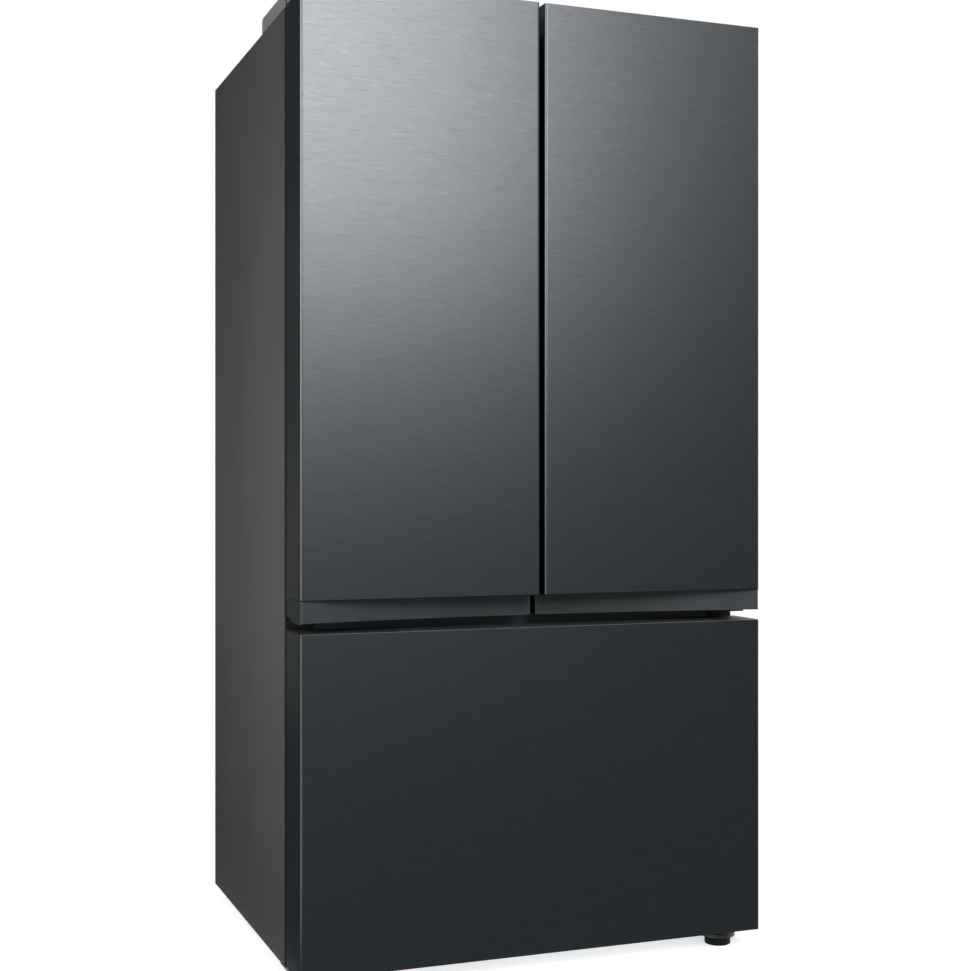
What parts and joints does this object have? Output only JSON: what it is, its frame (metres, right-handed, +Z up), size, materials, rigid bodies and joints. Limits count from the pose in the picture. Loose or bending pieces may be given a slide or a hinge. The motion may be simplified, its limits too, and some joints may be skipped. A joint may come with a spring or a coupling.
{
  "type": "french door refrigerator",
  "caption": "Free-standing refrigerator with a pair of upper doors over one full-width freezer drawer, opened by a shallow arched grip recess between them.",
  "frame": {"origin": "on the floor, under the middle of the closed refrigerator's box", "axes": "+X to the right as one faces the doors, +Y to the back, +Z up"},
  "size_m": [0.908, 0.76, 1.779],
  "materials": {
    "case_paint": "satin",
    "zinc_steel": "satin",
    "dark_brushed_steel": "satin",
    "charcoal_abs": "satin",
    "grey_abs": "satin",
    "white_liner": "gloss",
    "insulation": "matte",
    "black_steel": "satin",
    "rail_steel": "satin",
    "seal_rubber": "matte",
    "black_plastic": "matte",
    "clear_bin": "gloss",
    "shelf_glass": "gloss",
    "fin_aluminium": "satin",
    "white_abs": "satin",
    "brass_fitting": "satin"
  },
  "bodies": {
    "cabinet": {"outer_case": "case_paint", "back_panel": "zinc_steel", "base_pan": "zinc_steel", "machine_cover": "zinc_steel", "cabinet_foam": "insulation", "fridge_liner": "white_liner", "freezer_liner": "white_liner", "centre_rail": "case_paint", "left_hinge_cover": "grey_abs", "right_hinge_cover": "grey_abs", "top_hinges": "black_steel", "centre_hinges": "black_steel", "leg_brackets": "black_steel", "air_duct": "white_abs", "shelf_tracks": "rail_steel", "shelf_frames": "grey_abs", "shelf_panes": "shelf_glass", "ceiling_panel": "white_abs", "evaporator": "fin_aluminium", "evaporator_cover": "white_abs", "compressor": "black_steel", "compressor_mounts": "seal_rubber", "condenser": "fin_aluminium", "condenser_shroud": "black_plastic", "drain_pan": "black_plastic", "inlet_valve": "brass_fitting", "cord_gland": "seal_rubber", "outer_rails": "rail_steel"},
    "left_door": {"left_door_skin": "dark_brushed_steel", "left_door_cap": "charcoal_abs", "left_door_grip": "charcoal_abs", "left_door_foam": "insulation", "left_door_liner": "white_liner", "left_door_gasket": "seal_rubber", "left_door_bins": "clear_bin"},
    "right_door": {"right_door_skin": "dark_brushed_steel", "right_door_cap": "charcoal_abs", "right_door_grip": "charcoal_abs", "right_door_foam": "insulation", "right_door_liner": "white_liner", "right_door_gasket": "seal_rubber", "right_door_bins": "clear_bin"},
    "centre_bar": {"centre_bar": "charcoal_abs"},
    "freezer_drawer": {"drawer_skin": "dark_brushed_steel", "drawer_cap": "charcoal_abs", "drawer_foam": "insulation", "drawer_liner": "white_liner", "drawer_gasket": "seal_rubber", "inner_rails": "rail_steel", "drawer_basket": "white_abs"},
    "middle_rails": {"middle_rails": "rail_steel"},
    "upper_tray": {"upper_tray": "clear_bin"},
    "left_crisper": {"left_crisper": "clear_bin"},
    "right_crisper": {"right_crisper": "clear_bin"},
    "left_foot": {"left_foot": "black_plastic"},
    "right_foot": {"right_foot": "black_plastic"},
    "left_roller": {"left_roller": "black_plastic"},
    "right_roller": {"right_roller": "black_plastic"},
    "evaporator_fan": {"evaporator_fan": "black_plastic"},
    "condenser_fan": {"condenser_fan": "black_plastic"}
  },
  "joints": [
    {"name": "left_door_hinge", "type": "hinge", "parent": "cabinet", "child": "left_door", "pos_m": [-0.438, -0.33, 1.2], "axis": [0, 0, -1], "range_deg": [0, 125]},
    {"name": "right_door_hinge", "type": "hinge", "parent": "cabinet", "child": "right_door", "pos_m": [0.438, -0.33, 1.2], "axis": [0, 0, 1], "range_deg": [0, 125]},
    {"name": "centre_bar_fold", "type": "hinge", "parent": "left_door", "child": "centre_bar", "pos_m": [-0.034, -0.262, 1.2], "axis": [0, 0, -1], "range_deg": [0, 90]},
    {"name": "drawer_slide", "type": "slide", "parent": "cabinet", "child": "freezer_drawer", "axis": [0, -1, 0], "range_m": [0, 0.42]},
    {"name": "middle_rails_slide", "type": "slide", "parent": "cabinet", "child": "middle_rails", "axis": [0, -1, 0], "range_m": [0, 0.21]},
    {"name": "upper_tray_slide", "type": "slide", "parent": "cabinet", "child": "upper_tray", "axis": [0, -1, 0], "range_m": [0, 0.336]},
    {"name": "left_crisper_slide", "type": "slide", "parent": "cabinet", "child": "left_crisper", "axis": [0, -1, 0], "range_m": [0, 0.2946]},
    {"name": "right_crisper_slide", "type": "slide", "parent": "cabinet", "child": "right_crisper", "axis": [0, -1, 0], "range_m": [0, 0.2946]},
    {"name": "left_foot_turn", "type": "hinge", "parent": "cabinet", "child": "left_foot", "pos_m": [-0.397, -0.317, 0.008], "axis": [0, 0, 1], "continuous": true},
    {"name": "right_foot_turn", "type": "hinge", "parent": "cabinet", "child": "right_foot", "pos_m": [0.397, -0.317, 0.008], "axis": [0, 0, 1], "continuous": true},
    {"name": "left_roller_spin", "type": "hinge", "parent": "cabinet", "child": "left_roller", "pos_m": [-0.4, 0.325, 0.02], "axis": [1, 0, 0], "continuous": true},
    {"name": "right_roller_spin", "type": "hinge", "parent": "cabinet", "child": "right_roller", "pos_m": [0.4, 0.325, 0.02], "axis": [1, 0, 0], "continuous": true},
    {"name": "evaporator_fan_spin", "type": "hinge", "parent": "cabinet", "child": "evaporator_fan", "pos_m": [0, 0.246, 0.545], "axis": [0, 1, 0], "continuous": true},
    {"name": "condenser_fan_spin", "type": "hinge", "parent": "cabinet", "child": "condenser_fan", "pos_m": [-0.193, 0.289, 0.125], "axis": [1, 0, 0], "continuous": true}
  ],
  "couplings": [
    {"joint": "middle_rails_slide", "follows": "drawer_slide", "ratio": 0.5},
    {"joint": "upper_tray_slide", "follows": "drawer_slide", "ratio": 0.8},
    {"joint": "left_crisper_slide", "follows": "left_door_hinge", "m_per_rad": 0.135},
    {"joint": "right_crisper_slide", "follows": "right_door_hinge", "m_per_rad": 0.135}
  ]
}
